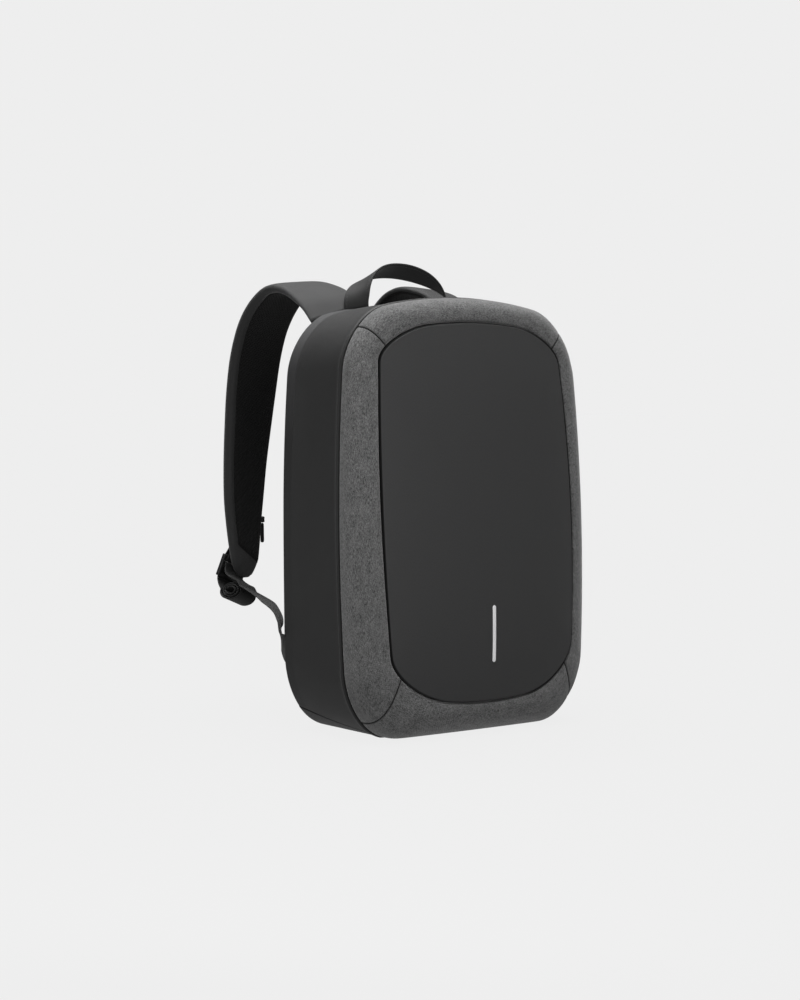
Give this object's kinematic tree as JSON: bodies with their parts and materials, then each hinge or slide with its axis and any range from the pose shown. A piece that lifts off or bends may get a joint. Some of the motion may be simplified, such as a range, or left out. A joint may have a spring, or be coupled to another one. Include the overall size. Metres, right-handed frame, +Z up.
{
  "type": "anti theft backpack",
  "caption": "Structured clamshell backpack with padded walls, a domed front panel, arched shoulder straps, adjuster webbing and a carry handle.",
  "frame": {"origin": "middle of the flat base, on the surface the bag stands on", "axes": "+X to the right seen from the front, the front faces -Y and the straps +Y, +Z up"},
  "size_m": [0.3042, 0.3511, 0.4805],
  "materials": {
    "panel_cloth": "smooth matt black coated cloth over a stiff padded panel",
    "melange_cloth": "dark grey melange woven polyester",
    "gusset_cloth": "smooth black coated cloth",
    "back_cloth": "black padded spacer cloth",
    "handle_cloth": "black coated cloth band with edge stitching",
    "strap_cloth": "smooth black coated cloth over foam",
    "spacer_mesh": "black three-dimensional spacer mesh",
    "webbing": "dark grey woven polyester webbing",
    "lock_plastic": "moulded black acetal, slightly satin",
    "reflective_bar": "light grey reflective transfer film"
  },
  "bodies": {
    "root": {"front_panel": "panel_cloth", "light_bar": "reflective_bar", "ring_top": "melange_cloth", "ring_left": "melange_cloth", "ring_base": "melange_cloth", "ring_right": "melange_cloth", "gusset": "gusset_cloth", "base_panel": "gusset_cloth", "back_panel": "back_cloth", "carry_handle": "handle_cloth", "strap_pad_left": "strap_cloth", "strap_lining_left": "spacer_mesh", "ladder_lock_left": "lock_plastic", "lock_loop_left": "webbing", "adjuster_webbing_left": "webbing", "zip_slider_left": "lock_plastic", "zip_pull_left": "lock_plastic", "strap_pad_right": "strap_cloth", "strap_lining_right": "spacer_mesh", "ladder_lock_right": "lock_plastic", "lock_loop_right": "webbing", "adjuster_webbing_right": "webbing", "zip_slider_right": "lock_plastic", "zip_pull_right": "lock_plastic"}
  },
  "joints": []
}
